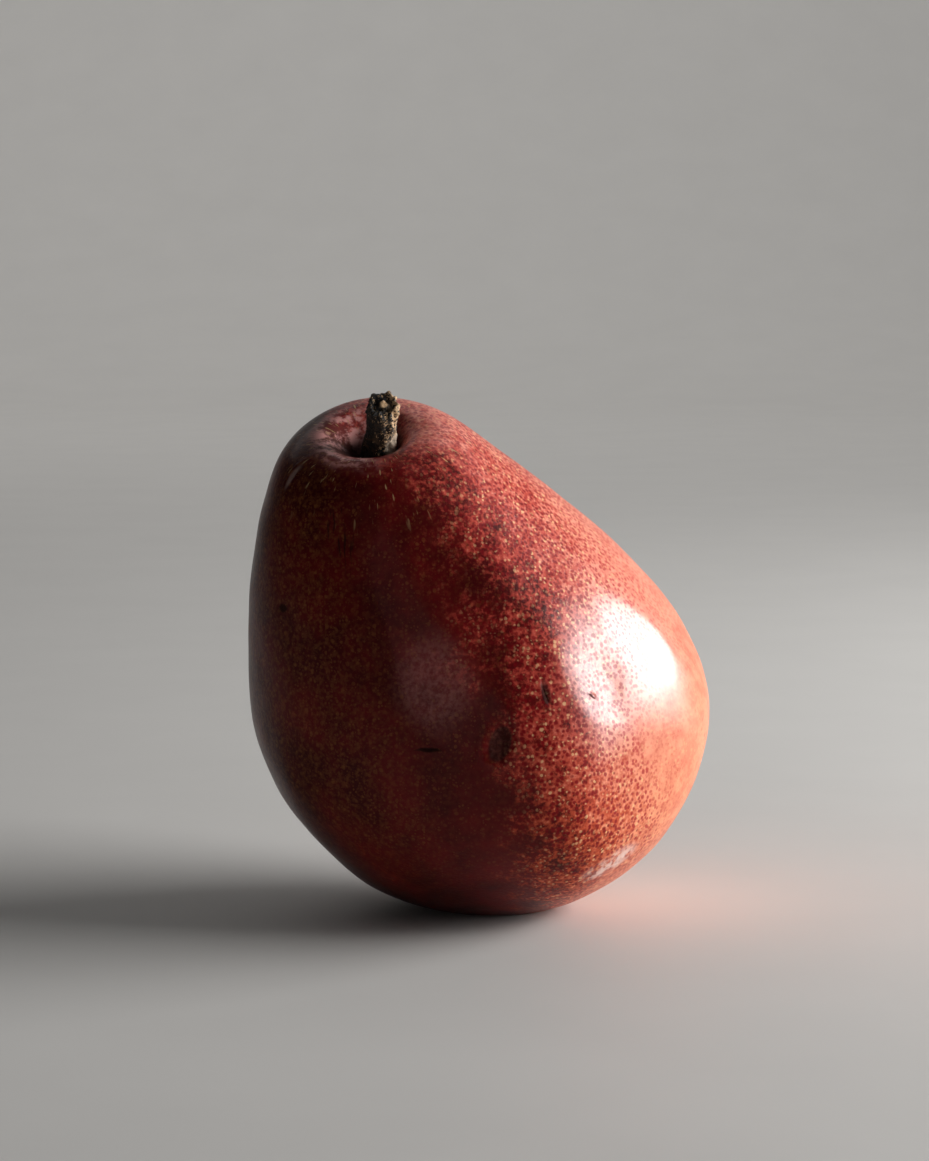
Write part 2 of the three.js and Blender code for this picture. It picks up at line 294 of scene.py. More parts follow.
class PearSkin(bpy.types.PropertyGroup):
    """Colours of the skin, how far apart its dots and specks are, and where its sunny side is."""
    # Maroon and crimson are partly painted shade: the skin's own deep red, made darker still for the shade
    # on the side turned from the lights.
    maroon: colour("Maroon", "Deep red of the shaded side", (0.055, 0.0022, 0.0032))
    crimson: colour("Crimson", "Brighter red in soft patches", (0.150, 0.0060, 0.0070))
    rose: colour("Rose", "Red ground where the sunny side begins", (0.52, 0.064, 0.044))
    amber: colour("Amber", "Red ground low on the sunny side", (0.55, 0.080, 0.028))
    salmon: colour("Salmon", "Paler ground high on the sunny side", (0.86, 0.325, 0.220))
    orange: colour("Orange", "Paler ground low on the sunny side", (0.90, 0.340, 0.185))
    dot: colour("Dots", "Dark dots where the sunny side begins", (0.21, 0.003, 0.007))
    faint_dot: colour("Faint dots", "Dots where the sunny side is palest", (0.57, 0.052, 0.048))
    cream: colour("Cream", "Pale specks in the ground of the sunny side", (0.82, 0.46, 0.23))
    fleck: colour("Flecks", "Small golden flecks in the red", (0.28, 0.10, 0.028))
    # This pale colour also paints the sheen on the flat place of the shaded side, as a painted sheen.
    bloom: colour("Bloom", "Pale wax around the stem and where the skin is flat", (0.78, 0.36, 0.33))
    # The pale streaks are partly waxy bloom and partly a painted sheen along the lower right edge.
    wax_and_sheen: colour("Wax", "Pale streaks low on the right", (0.82, 0.60, 0.53))
    russet: colour("Russet", "Corky dashes around the stem and cork around the calyx", (0.62, 0.42, 0.20))
    scab: colour("Scab", "Crust of the healed scab", (0.050, 0.024, 0.020))
    # The dark of the cuts, the scab and the bruise lines, and also painted shade on the floor of the stem
    # basin.
    gash_and_shade: colour("Gash", "Dry inside of the cuts and of the basin", (0.02, 0.006, 0.005))
    dot_spacing: length("Dot spacing", "How far apart the dots are", 0.8 * MM)
    speck_spacing: length("Speck spacing", "How far apart the cream specks are", 0.7 * MM)
    fleck_spacing: length("Fleck spacing", "How far apart the golden flecks are", 0.85 * MM)
    sunny_turn: angle("Sunny side", "Where the sunny side is around the belly, from its right", 0)
    neck_turn: angle("Sunny neck", "How far the sunny side is turned to the back at the neck", 34)


class PearStem(bpy.types.PropertyGroup):
    """Sizes and colours of the stem."""
    height: length("Height", "From the floor of its basin to its broken tip", 14 * MM)
    root_length: length("Root", "How deep it goes below the floor of its basin", 2.8 * MM)
    root_radius: length("Root radius", "Half the width of its foot", 3.2 * MM)
    collar_radius: length("Collar radius", "Half the width just above its foot", 2.8 * MM)
    waist_radius: length("Waist radius", "Half the width at its middle", 2.35 * MM)
    tip_radius: length("Tip radius", "Half the width near its tip", 2.5 * MM)
    end_radius: length("End radius", "Half the width of its broken end", 2 * MM)
    end_hollow: length("End hollow", "Depth of the ring in its broken end", 0.6 * MM)
    lean_forward: angle("Lean forward", "Lean of its foot to the front", 6)
    lean_right: angle("Lean right", "Lean of its foot to the right", 9)
    bend: angle("Bend", "How far it bends to the front from foot to tip", 24)
    roughness_height: length("Bark", "Height of the rough bark", 0.22 * MM)
    dark: colour("Dark bark", "Weathered bark", (0.012, 0.009, 0.007))
    brown: colour("Brown bark", "Bark in between", (0.10, 0.055, 0.028))
    # The tan flecks are painted more on the lit right side of the stem, as painted light.
    tan: colour("Tan bark", "Peeling flecks and the middle of the broken end", (0.62, 0.40, 0.22))
    pale: colour("Pale bark", "Smooth swelling at the foot", (0.56, 0.44, 0.33))


class PearCalyx(bpy.types.PropertyGroup):
    """Sizes and colours of the dried calyx."""
    sepal_count: count("Sepals", "How many sepals stand around the cup", 5)
    sepal_length: length("Sepal length", "From the root of a sepal to its tip", 5.4 * MM)
    sepal_width: length("Sepal width", "Width of a sepal at its widest", 3.2 * MM)
    sepal_thickness: length("Sepal thickness", "Thickness of a sepal", 0.45 * MM)
    sepal_lean: angle("Sepal lean", "How far a sepal leans outwards", 24)
    cup_radius: length("Cup radius", "Half the width of the cup", 2.7 * MM)
    cup_height: length("Cup height", "From the floor of the basin to the rim of the cup", 2 * MM)
    stamen_count: count("Stamens", "How many dried stamens stand in the cup", 14)
    dark: colour("Dark", "Dried sepals", (0.030, 0.018, 0.010))
    pale: colour("Pale", "Worn edges of the sepals", (0.22, 0.135, 0.065))


class PearStage(bpy.types.PropertyGroup):
    """Floor, lights and camera."""
    floor_colour: colour("Floor", "Colour of the floor", (0.72, 0.70, 0.67))
    key_watts: power("Key light", "Power of the large light on the right", 6.4)
    low_watts: power("Low light", "Power of the wide light below it", 5.5)
    front_watts: power("Front light", "Power of the light near the camera", 0.36)
    wall_watts: power("Wall light", "Power of the light on the backdrop", 13.0)
    room_colour: colour("Room", "Colour of the even light from all around", (0.85, 0.88, 0.92))
    room_light: share("Room light", "Strength of the even light from all around", 0.03)
    lens: FloatProperty(name="Lens", description="Focal length in millimetres", default=98.6)
    camera_distance: length("Distance", "From the camera to the middle of the belly", 530 * MM)
    camera_elevation: angle("Elevation", "How far the camera looks down on the belly", 8)


# Shapes of the fruit

def stretch(start, handle_a, handle_b, end, steps):
    """Points along one Bezier stretch of an outline, as radius and height, without the first."""
    knots = [Vector((x, 0.0, z)) for x, z in (start, handle_a, handle_b, end)]
    return geometry.interpolate_bezier(*knots, steps + 1)[1:]


def fruit_outline(fruit):
    """Half of the fruit's outline, from the floor of the calyx basin to the floor of the stem basin."""
    calyx_floor = fruit.calyx_basin_depth - fruit.base_depth
    stem_floor = fruit.crown_height - fruit.stem_basin_depth
    ring = fruit.base_ring_radius
    belly = fruit.belly_radius
    crown = fruit.crown_radius
    flank_rise = FLANK_FULLNESS * fruit.shoulder_height
    crown_rise = SHOULDER_FULLNESS * (fruit.crown_height - fruit.shoulder_height)
    shoulder = (fruit.shoulder_radius, fruit.shoulder_height)
    below_shoulder = (shoulder[0] + flank_rise * fruit.flank_slope, shoulder[1] - flank_rise)
    above_shoulder = (shoulder[0] - crown_rise * fruit.flank_slope, shoulder[1] + crown_rise)
    stretches = (
        ((0, calyx_floor), (BASIN_ROUNDING * ring, calyx_floor),
         ((1 - BASIN_ROUNDING) * ring, -fruit.base_depth), (ring, -fruit.base_depth)),
        ((ring, -fruit.base_depth), (ring + BASE_FULLNESS * belly, -fruit.base_depth),
         (belly, -LOWER_BELLY_FULLNESS * fruit.base_depth), (belly, 0)),
        ((belly, 0), (belly, UPPER_BELLY_FULLNESS * fruit.shoulder_height), below_shoulder, shoulder),
        (shoulder, above_shoulder,
         ((1 + CROWN_FULLNESS) * crown, fruit.crown_height), (crown, fruit.crown_height)),
        ((crown, fruit.crown_height), ((1 - BASIN_ROUNDING) * crown, fruit.crown_height),
         (BASIN_ROUNDING * crown, stem_floor), (0, stem_floor)),
    )
    points = [Vector((0, 0, calyx_floor))]
    for knots, steps in zip(stretches, OUTLINE_STEPS):
        points += stretch(*knots, steps)
    return points


def smoothstep(low, high, value):
    part = min(max((value - low) / (high - low), 0.0), 1.0)
    return part * part * (3 - 2 * part)


def axis_at(fruit, height):
    """Where the fruit's own axis is at a height, once the neck is carried aside."""
    part = smoothstep(NECK_START, NECK_END, height)
    return Vector((fruit.neck_offset_x * part, fruit.neck_offset_y * part, height))


def fruit_place(fruit):
    """The fruit's own frame on the table."""
    turn = Euler((fruit.lean_forward, -fruit.lean_left, 0.0)).to_matrix().to_4x4()
    return Matrix.Translation((0, fruit.belly_behind_spot, fruit.belly_over_table)) @ turn


def stem_seat(fruit, stem):
    """The stem's own frame: its origin on the floor of its basin, +Z along its foot."""
    floor = axis_at(fruit, fruit.crown_height - fruit.stem_basin_depth)
    turn = Euler((stem.lean_forward, stem.lean_right, 0.0)).to_matrix().to_4x4()
    return fruit_place(fruit) @ Matrix.Translation(floor) @ turn


def calyx_seat(fruit):
    """The calyx's own frame: its origin on the floor of its basin, +Z out of the base."""
    floor = Matrix.Translation((0, 0, fruit.calyx_basin_depth - fruit.base_depth))
    return fruit_place(fruit) @ floor @ Matrix.Rotation(math.pi, 4, "X")


def front_rib(around, height):
    """Height of the blunt rib down the front, from nought to one."""
    lower = smoothstep(FRONT_RIB_TURN_FROM, FRONT_RIB_TURN_TO, height)
    crest = FRONT_RIB_HIGH_ANGLE + (FRONT_RIB_LOW_ANGLE - FRONT_RIB_HIGH_ANGLE) * lower
    aside = (around - crest + math.pi) % (2 * math.pi) - math.pi
    below_top = smoothstep(FRONT_RIB_TOP, FRONT_RIB_TOP - FRONT_RIB_FADE, height)
    above_bottom = smoothstep(FRONT_RIB_BOTTOM, FRONT_RIB_BOTTOM + FRONT_RIB_FADE, height)
    return math.exp(-((aside / FRONT_RIB_WIDTH) ** 2)) * below_top * above_bottom


def make_uneven(fruit, point):
    """Ribs, oval section and sideways neck of one point of the turned fruit."""
    around = math.atan2(point.y, point.x)
    wide = 1 + fruit.rib_share * math.cos(RIB_COUNT * (around - RIB_ANGLE))
    wide -= fruit.oval_share * math.cos(2 * around)
    wide += fruit.front_rib_share * front_rib(around, point.z)
    axis = axis_at(fruit, point.z)
    return Vector((point.x * wide + axis.x, point.y * wide + axis.y, point.z))


def press_sides(point):
    """Flattens the sides that were pressed: little is left of what reaches beyond their distance."""
    for side in PRESSED_SIDES:
        level = math.cos(side.dip)
        outwards = Vector((
            math.cos(side.angle) * level,
            math.sin(side.angle) * level,
            -math.sin(side.dip),
        ))
        beyond = (point.dot(outwards) - side.distance) / PRESSED_ROUNDING
        point = point - outwards * (PRESSED_ROUNDING * math.log1p(math.exp(beyond)))
    return point


def spun(bm, outline, steps):
    """Turns an outline in the XZ plane about +Z into a closed skin."""
    verts = [bm.verts.new(point) for point in outline]
    edges = [bm.edges.new(pair) for pair in zip(verts, verts[1:])]
    bmesh.ops.spin(
        bm, geom=verts + edges, cent=(0, 0, 0), axis=(0, 0, 1), dvec=(0, 0, 0),
        angle=2 * math.pi, steps=steps, use_merge=True, use_normal_flip=False, use_duplicate=False,
    )
    bmesh.ops.remove_doubles(bm, verts=bm.verts, dist=MERGE_DISTANCE)
    bmesh.ops.recalc_face_normals(bm, faces=bm.faces)


def finish_piece(bm, name, material, node):
    """Turns a bmesh into a smooth piece that rides on the part and stands for one CAD node."""
    mesh = bpy.data.meshes.new(name)
    bm.to_mesh(mesh)
    bm.free()
    mesh.shade_smooth()
    mesh.materials.append(material)
    piece = bpy.data.objects.new(name, mesh)
    bpy.context.scene.collection.objects.link(piece)
    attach(piece, "root")
    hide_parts(node)
    return piece


# Camera and the places that the photograph gives

def camera_matrix(stage, fruit):
    """The camera's place and turn: the middle of the belly is seen at its pixel."""
    belly = fruit_place(fruit).translation
    focal = stage.lens / SENSOR_HEIGHT * FRAME_HEIGHT
    right = (BELLY_PIXEL[0] - FRAME_WIDTH / 2) / focal
    down = (BELLY_PIXEL[1] - FRAME_HEIGHT / 2) / focal
    level = Euler((math.pi / 2 - stage.camera_elevation, 0, 0)).to_matrix().to_4x4()
    place = Matrix.Translation(belly + level @ Vector((0, 0, stage.camera_distance)))
    aside = Matrix.Rotation(math.atan(down), 4, "X") @ Matrix.Rotation(math.atan(right), 4, "Y")
    return place @ level @ aside


def seen_point(skin, stage, fruit, pixel):
    """Place, normal, right and up on the skin where the photograph shows a pixel."""
    view = camera_matrix(stage, fruit)
    focal = stage.lens / SENSOR_HEIGHT * FRAME_HEIGHT
    ray = Vector(((pixel[0] - FRAME_WIDTH / 2) / focal, (FRAME_HEIGHT / 2 - pixel[1]) / focal, -1.0))
    place, normal, _, _ = skin.ray_cast(view.translation, (view.to_3x3() @ ray).normalized())
    if place is None:
        raise RuntimeError(f"pixel {pixel} is not on the fruit")
    right = (view.to_3x3() @ Vector((0, 1, 0))).cross(normal).normalized()
    return place, normal, right, normal.cross(right)


def press_flats(bm, stage, fruit):
    """Presses the flat places into the skin: beyond each flat's plane little of the bulge is left."""
    skin = BVHTree.FromBMesh(bm)
    planes = []
    for flat in FLATS:
        place, normal, _, _ = seen_point(skin, stage, fruit, flat.pixel)
        planes.append((place - normal * flat.depth, normal))
    for vert in bm.verts:
        for place, normal in planes:
            beyond = (vert.co - place).dot(normal)
            if beyond > 0:
                vert.co -= normal * (beyond * FLAT_SHARE)


def refine(bm, place, radius, cuts):
    """Splits the skin's faces more finely around a place."""
    near = [e for e in bm.edges if all((v.co - place).length < radius for v in e.verts)]
    bmesh.ops.subdivide_edges(bm, edges=near, cuts=cuts, use_grid_fill=True)


def press_marks(bm, stage, fruit):
    """Sinks the marks that have depth into the skin, with a small lip around the sharp ones, and gives the
    frames of all marks."""
    frames = {}
    for name, mark in MARKS.items():
        place, normal, right, up = seen_point(BVHTree.FromBMesh(bm), stage, fruit, mark.pixel)
        along = (right * math.cos(mark.turn) + up * math.sin(mark.turn)).normalized()
        across = normal.cross(along)
        frames[name] = Matrix((along, across, normal)).transposed().to_4x4()
        frames[name].translation = place
        reach = 0.5 * max(mark.width, mark.height) + FINE_MARGIN
        if mark.lip > 0:
            refine(bm, place, reach, FINE_CUTS)
        for vert in bm.verts:
            offset = vert.co - place
            if offset.length > 2 * reach:
                continue
            far = math.hypot(2 * offset.dot(along) / mark.width, 2 * offset.dot(across) / mark.height)
            far *= 1 + EDGE_WAVER * noise.noise(vert.co / EDGE_WAVER_SPACING)
            sink = (mark.depth + mark.slope * offset.dot(along)) * math.exp(-far ** EDGE_STEEPNESS)
            lip = mark.lip * math.exp(-((far - LIP_PLACE) / LIP_WIDTH) ** 2)
            vert.co += normal * (lip - sink)
    return frames


def add_lumps(bm, fruit):
    """Soft lumps all over the fruit."""
    large = fruit.lump_spacing
    small = SMALL_LUMP_SPACING * large
    for vert in bm.verts:
        lump = noise.noise(vert.co / large) + SMALL_LUMP_HEIGHT * noise.noise(vert.co / small)
        vert.co += vert.normal * (fruit.lump_height * lump)


def rest_on_table(bm):
    """Flattens what would reach below the table."""
    for vert in bm.verts:
        vert.co.z = max(vert.co.z, 0.0)


def make_fruit(scene):
    """The fruit, turned, made uneven, laid on the table and marked."""
    fruit = scene.pear_fruit
    bm = bmesh.new()
    spun(bm, fruit_outline(fruit), AROUND_FRUIT)
    for vert in bm.verts:
        vert.co = press_sides(make_uneven(fruit, vert.co))
    bmesh.ops.transform(bm, matrix=fruit_place(fruit), verts=bm.verts)
    bm.normal_update()
    add_lumps(bm, fruit)
    press_flats(bm, scene.pear_stage, fruit)
    frames = press_marks(bm, scene.pear_stage, fruit)
    rest_on_table(bm)
    return finish_piece(bm, "pear_skin", skin_material(scene, frames), "pear_body")


# Shapes of the stem

def stem_outline(stem):
    """Half of the stem's outline, from its root to the nub in its broken end."""
    end = stem.height
    knots = (
        (0, -stem.root_length), (stem.root_radius, -stem.root_length), (stem.root_radius, 0),
        (stem.collar_radius, COLLAR_HEIGHT * end),
        (stem.waist_radius, WAIST_LOW * end), (stem.waist_radius, WAIST_HIGH * end),
        (stem.tip_radius, TIP_HEIGHT * end), (BREAK_SHARE * stem.tip_radius, BREAK_HEIGHT * end),
        (stem.end_radius, end),
        (RING_OUTSIDE * stem.end_radius, end - stem.end_hollow),
        (RING_INSIDE * stem.end_radius, end - stem.end_hollow),
        (NUB_SHARE * stem.end_radius, end), (0, end),
    )
    points = []
    for (radius, height), (next_radius, next_height) in zip(knots, knots[1:]):
        wider = next_radius - radius
        higher = next_height - height
        steps = max(2, round(math.hypot(wider, higher) / STEM_STEP))
        for step in range(steps):
            points.append(Vector((radius + wider * step / steps, 0, height + higher * step / steps)))
    return points + [Vector((0, 0, end))]


def bend_stem(stem, point):
    """Bends the stem towards the front above its foot."""
    if point.z <= 0:
        return point
    arc = stem.height / stem.bend
    turn = point.z / arc
    return Vector((
        point.x,
        point.y * math.cos(turn) - arc * (1 - math.cos(turn)),
        (point.y + arc) * math.sin(turn),
    ))


def roughen_bark(bm, stem):
    """Twisted ridges and crusty bark above the stem's foot, most of it at the ragged end."""
    for vert in bm.verts:
        around = math.atan2(vert.co.y, vert.co.x)
        bare = max(vert.co.z, 0.0)
        ridges = sum(ridge.share * math.cos(ridge.count * around + ridge.twist * bare) for ridge in RIDGES)
        crust = noise.noise(vert.co / BARK_SPACING)
        crust += FINE_BARK_SHARE * noise.noise(vert.co / FINE_BARK_SPACING)
        ragged = smoothstep(RAGGED_FROM * stem.height, RAGGED_TO * stem.height, bare)
        rise = min(bare / BARK_RISE, 1.0) * (1 + RAGGED_SHARE * ragged)
        vert.co.xy *= 1 + rise * ridges
        vert.co += vert.normal * (stem.roughness_height * crust * rise)


def make_stem(scene):
    """The stem, turned, roughened, bent and set in the crown."""
    stem = scene.pear_stem
    bm = bmesh.new()
    spun(bm, stem_outline(stem), AROUND_STEM)
    bmesh.ops.smooth_vert(bm, verts=bm.verts, factor=0.5, use_axis_x=True, use_axis_y=True, use_axis_z=True)
    bm.normal_update()
    roughen_bark(bm, stem)
    for vert in bm.verts:
        vert.co = bend_stem(stem, vert.co)
    bmesh.ops.transform(bm, matrix=stem_seat(scene.pear_fruit, stem), verts=bm.verts)
    return finish_piece(bm, "pear_stem", bark_material(scene), "stem")


# Shapes of the calyx

def add_sepal(bm, calyx, turn):
    """One dried sepal: a pointed blade, cupped across and curling outwards."""
    across, upwards = SEPAL_GRID
    made = bmesh.ops.create_grid(bm, x_segments=across, y_segments=upwards, size=0.5)["verts"]
    for vert in made:
        along = vert.co.y + 0.5
        side = 2 * vert.co.x
        swell = (SEPAL_ROOT_SHARE + SEPAL_SWELL * along) * (1 - along ** SEPAL_POINT)
        half = 0.5 * calyx.sepal_width * swell + SEPAL_EDGE
        curl = SEPAL_CURL * (along * calyx.sepal_length) ** 2
        cup = SEPAL_CUP * half * (1 - side * side)
        crumple = SEPAL_CRUMPLE * noise.noise(Vector((side, 4 * along, turn)))
        vert.co = Vector((side * half, curl + cup - crumple, along * calyx.sepal_length))
    faces = {face for vert in made for face in vert.link_faces}
    solid = bmesh.ops.solidify(bm, geom=list(faces), thickness=calyx.sepal_thickness)
    verts = set(made) | {v for v in solid["geom"] if isinstance(v, bmesh.types.BMVert)}
    place = (
        Matrix.Rotation(turn, 4, "Z")
        @ Matrix.Translation((0, SEPAL_OUT * calyx.cup_radius, SEPAL_UP * calyx.cup_height))
        @ Matrix.Rotation(-calyx.sepal_lean, 4, "X")
    )
    bmesh.ops.transform(bm, matrix=place, verts=list(verts))


def add_stamen(bm, calyx, number):
    """One dried stamen in the cup, leaning its own way."""
    turn = number * STAMEN_ANGLE
    out = STAMEN_OUT * calyx.cup_radius * math.sqrt((number + 0.5) / calyx.stamen_count)
    uneven = STAMEN_UNEVEN * noise.noise(Vector((number, 0.5, 0.5)))
    tall = calyx.cup_height * (STAMEN_HEIGHT + uneven)
    made = bmesh.ops.create_cone(
        bm, cap_ends=True, segments=STAMEN_SIDES, depth=tall,
        radius1=STAMEN_RADIUS, radius2=STAMEN_TIP_RADIUS,
    )["verts"]
    place = (
        Matrix.Rotation(turn, 4, "Z")
        @ Matrix.Translation((0, out, STAMEN_UP * calyx.cup_height))
        @ Matrix.Rotation(-STAMEN_LEAN * out / calyx.cup_radius, 4, "X")
        @ Matrix.Translation((0, 0, 0.5 * tall))
    )
    bmesh.ops.transform(bm, matrix=place, verts=made)


def make_calyx(scene):
    """The calyx: a cup with sepals around it and stamens in it, set in the base."""
    calyx = scene.pear_calyx
    bm = bmesh.new()
    outline = [Vector((x * calyx.cup_radius, 0, z * calyx.cup_height)) for x, z in CUP_OUTLINE]
    spun(bm, outline, AROUND_CUP)
    for number in range(calyx.sepal_count):
        add_sepal(bm, calyx, 2 * math.pi * number / calyx.sepal_count)
    for number in range(calyx.stamen_count):
        add_stamen(bm, calyx, number)
    bmesh.ops.transform(bm, matrix=calyx_seat(scene.pear_fruit), verts=bm.verts)
    return finish_piece(bm, "pear_calyx", sepal_material(scene), "calyx")


# Materials

class Nodes:
    """Adds shader nodes to one tree and joins them."""

    def __init__(self, tree):
        self.tree = tree

    def feed(self, socket, value):
        if isinstance(value, bpy.types.NodeSocket):
            self.tree.links.new(value, socket)
        elif socket.type == "RGBA":
            socket.default_value = (*value, 1.0)
        else:
            socket.default_value = value

    def add(self, kind, settings=None, **inputs):
        made = self.tree.nodes.new(kind)
        for name, value in (settings or {}).items():
            setattr(made, name, value)
        for name, value in inputs.items():
            self.feed(made.inputs[name.replace("_", " ")], value)
        return made

    def math(self, operation, *values, clamp=False):
        made = self.add("ShaderNodeMath", {"operation": operation, "use_clamp": clamp})
        for socket, value in zip(made.inputs, values):
            self.feed(socket, value)
        return made.outputs[0]

    def product(self, first, *others):
        for value in others:
            first = self.math("MULTIPLY", first, value)
        return first

    def vector(self, operation, *values):
        made = self.add("ShaderNodeVectorMath", {"operation": operation})
        for socket, value in zip(made.inputs, values):
            self.feed(socket, value)
        return made.outputs["Value" if operation in {"DOT_PRODUCT", "LENGTH", "DISTANCE"} else "Vector"]

    def mix(self, factor, a, b):
        made = self.add("ShaderNodeMix", {"data_type": "RGBA"})
        for index, value in ((0, factor), (6, a), (7, b)):
            self.feed(made.inputs[index], value)
        return made.outputs[2]

    def ramp(self, value, low, high, to_low=0.0, to_high=1.0):
        made = self.add(
            "ShaderNodeMapRange", {"interpolation_type": "SMOOTHSTEP"},
            Value=value, From_Min=low, From_Max=high, To_Min=to_low, To_Max=to_high,
        )
        return made.outputs["Result"]

    def noise(self, vector, spacing, detail=3.0, roughness=0.55):
        made = self.add(
            "ShaderNodeTexNoise", Vector=vector, Scale=1 / spacing, Detail=detail, Roughness=roughness,
        )
        return made.outputs["Fac"]

    def cells(self, vector, spacing, randomness):
        return self.add("ShaderNodeTexVoronoi", Vector=vector, Scale=1 / spacing, Randomness=randomness)


def new_material(name):
    """A material with an empty Principled shader, as its node helper and that shader."""
    material = bpy.data.materials.new(name)
    material.use_nodes = True
    nodes = Nodes(material.node_tree)
    return material, nodes, material.node_tree.nodes["Principled BSDF"]


def place_in(n, place, matrix, scale=(1.0, 1.0, 1.0)):
    """Object coordinates seen in a frame of their own."""
    mapped = n.add(
        "ShaderNodeMapping", {"vector_type": "TEXTURE"}, Vector=place,
        Location=matrix.translation, Rotation=matrix.to_euler(), Scale=Vector(scale),
    )
    return mapped.outputs["Vector"]


def mark_mask(n, place, frames, name, grow=(1.0, 1.0), edge=0.5, reach=MARK_REACH):
    """A soft oval mask at a mark, one at its middle; grow makes it wider and taller than the mark."""
    mark = MARKS[name]
    size = (0.5 * grow[0] * mark.width, 0.5 * grow[1] * mark.height, reach)
    own = place_in(n, place, frames[name], size)
    return n.ramp(n.vector("LENGTH", own), 1 + edge, 1 - edge)


def rubbed_and_sheen_mask(n, field, frames, name):
    """The mask of a place that is rubbed smooth, which reaches deep enough for the bulge of the fruit;
    on the facet it also places a painted sheen.
    """
    return mark_mask(n, field.place, frames, name, reach=RUBBED_REACH)


def scattered_dots(n, place, spacing, least, most):
    """Round dots of mixed sizes, as a mask; least and most are radii as shares of the spacing."""
    cells = n.cells(place, spacing, 0.9)
    size = n.add("ShaderNodeSeparateColor", Color=cells.outputs["Color"]).outputs["Red"]
    radius = n.math("MULTIPLY_ADD", size, most - least, least)
    inside = n.math("SUBTRACT", radius, cells.outputs["Distance"])
    return n.math("MULTIPLY_ADD", inside, SPECK_SHARPNESS, 0.5, clamp=True)


def centred(n, value, amount):
    """A noise value moved about zero and scaled."""
    return n.math("MULTIPLY", n.math("SUBTRACT", value, 0.5), amount)


def around_axis(n, place, fruit):
    """Direction away from the fruit's bent axis, as a level unit vector in the fruit's own frame, and the
    height along that axis."""
    own = place_in(n, place, fruit_place(fruit))
    height = n.add("ShaderNodeSeparateXYZ", Vector=own).outputs["Z"]
    carried = n.ramp(height, NECK_START, NECK_END)
    axis = n.add("ShaderNodeVectorMath", {"operation": "SCALE"}, Scale=carried)
    axis.inputs["Vector"].default_value = (fruit.neck_offset_x, fruit.neck_offset_y, 0.0)
    away = n.vector("SUBTRACT", own, axis.outputs["Vector"])
    return n.vector("NORMALIZE", n.vector("MULTIPLY", away, (1, 1, 0))), height


def facing(n, around, turn, low, high):
    """A soft mask over the side of the fruit that faces a turn about its axis, in radians."""
    parts = n.add("ShaderNodeSeparateXYZ", Vector=around).outputs
    here = n.math("ARCTAN2", parts["Y"], parts["X"])
    return n.ramp(n.math("COSINE", n.math("SUBTRACT", here, turn)), low, high)


def sunny_opening(n, skin, around, height, patches):
    """How far the skin has opened from red to its pale ground: nought on the shaded side and one on the
    sunny side, which is turned to the back at the neck."""
    high = n.ramp(height, 2 * MM, 42 * MM)
    sunny_turn = n.math("MULTIPLY_ADD", high, skin.neck_turn, skin.sunny_turn)
    closed = n.ramp(height, 4 * MM, 48 * MM, -0.1, -0.95)
    opened = n.ramp(height, 8 * MM, 46 * MM, 0.95, 2.4)
    side = facing(n, around, sunny_turn, closed, opened)
    return n.math("ADD", side, centred(n, patches, 0.6), clamp=True)


SkinFields = namedtuple(
    "SkinFields",
    "place wobbly patches mottle grain height opening uneven left_edge turn from_stem from_calyx",
)


def skin_fields(n, scene):
    """The places, noises, distances and masks that the colours of the skin are made from."""
    fruit = scene.pear_fruit
    place = n.add("ShaderNodeTexCoord").outputs["Object"]
    patches = n.noise(place, PATCH_SPACING, 4.0, 0.6)
    mottle = n.noise(place, MOTTLE_SPACING, 4.0, 0.65)
    grain = n.noise(place, GRAIN_SPACING, 3.0, 0.6)
    wobble = n.add("ShaderNodeTexNoise", Vector=place, Scale=1 / WOBBLE_SPACING, Detail=1.0)
    around, height = around_axis(n, place, fruit)
    from_calyx = n.vector("DISTANCE", place, calyx_seat(fruit).translation)
    near_calyx = n.ramp(from_calyx, 16 * MM, 5 * MM)
    opening = sunny_opening(n, scene.pear_skin, around, height, patches)
    opening = n.math("MULTIPLY_ADD", near_calyx, n.math("SUBTRACT", 0.3, opening), opening)
    stem_foot = stem_seat(fruit, scene.pear_stem).translation
    crown = place_in(n, place, Matrix.Translation(stem_foot) @ fruit_place(fruit).to_3x3().to_4x4())
    crown_parts = n.add("ShaderNodeSeparateXYZ", Vector=crown).outputs
    return SkinFields(
        place=place,
        wobbly=n.vector("MULTIPLY_ADD", wobble.outputs["Color"], WOBBLE_REACH * Vector((1, 1, 1)), place),
        patches=patches,
        mottle=mottle,
        grain=grain,
        height=height,
        opening=opening,
        uneven=n.math("ADD", opening, n.math("ADD", centred(n, mottle, 0.8), centred(n, grain, 1.2))),
        left_edge=facing(n, around, LEFT_EDGE_ANGLE, 0.5, 0.95),
        turn=n.math("ARCTAN2", crown_parts["X"], crown_parts["Y"]),
        from_stem=n.vector("LENGTH", n.vector("MULTIPLY", crown, (1, 1, 0.5))),
        from_calyx=from_calyx,
    )


